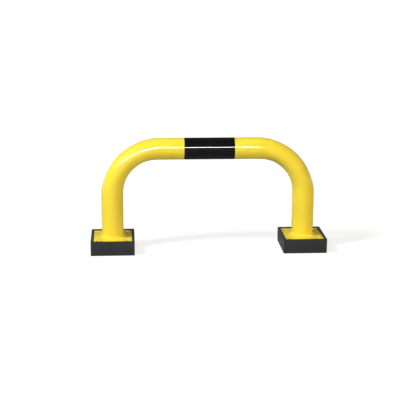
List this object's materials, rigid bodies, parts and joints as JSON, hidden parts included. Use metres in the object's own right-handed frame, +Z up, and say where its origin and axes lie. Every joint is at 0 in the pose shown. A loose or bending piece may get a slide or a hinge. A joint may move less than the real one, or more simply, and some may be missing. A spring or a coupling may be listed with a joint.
{
  "type": "industrial guard rail",
  "caption": "Low hoop of bent coated steel tube with a contrasting band, welded to two base plates that sit in thick resilient rubber blocks for floor fixing.",
  "frame": {"origin": "on the floor, midway between the two feet", "axes": "+X along the rail to the viewer's right, +Y from the front to the back, +Z up"},
  "size_m": [0.8268, 0.178, 0.3986],
  "materials": {
    "yellow_coating": "glossy powder coat",
    "black_film": "glossy",
    "black_rubber": "matt moulded"
  },
  "bodies": {
    "root": {"hoop_tube": "yellow_coating", "black_film": "black_film", "left_base_plate": "yellow_coating", "right_base_plate": "yellow_coating", "left_weld_seam": "yellow_coating", "right_weld_seam": "yellow_coating", "left_rubber_block": "black_rubber", "right_rubber_block": "black_rubber"}
  },
  "joints": []
}
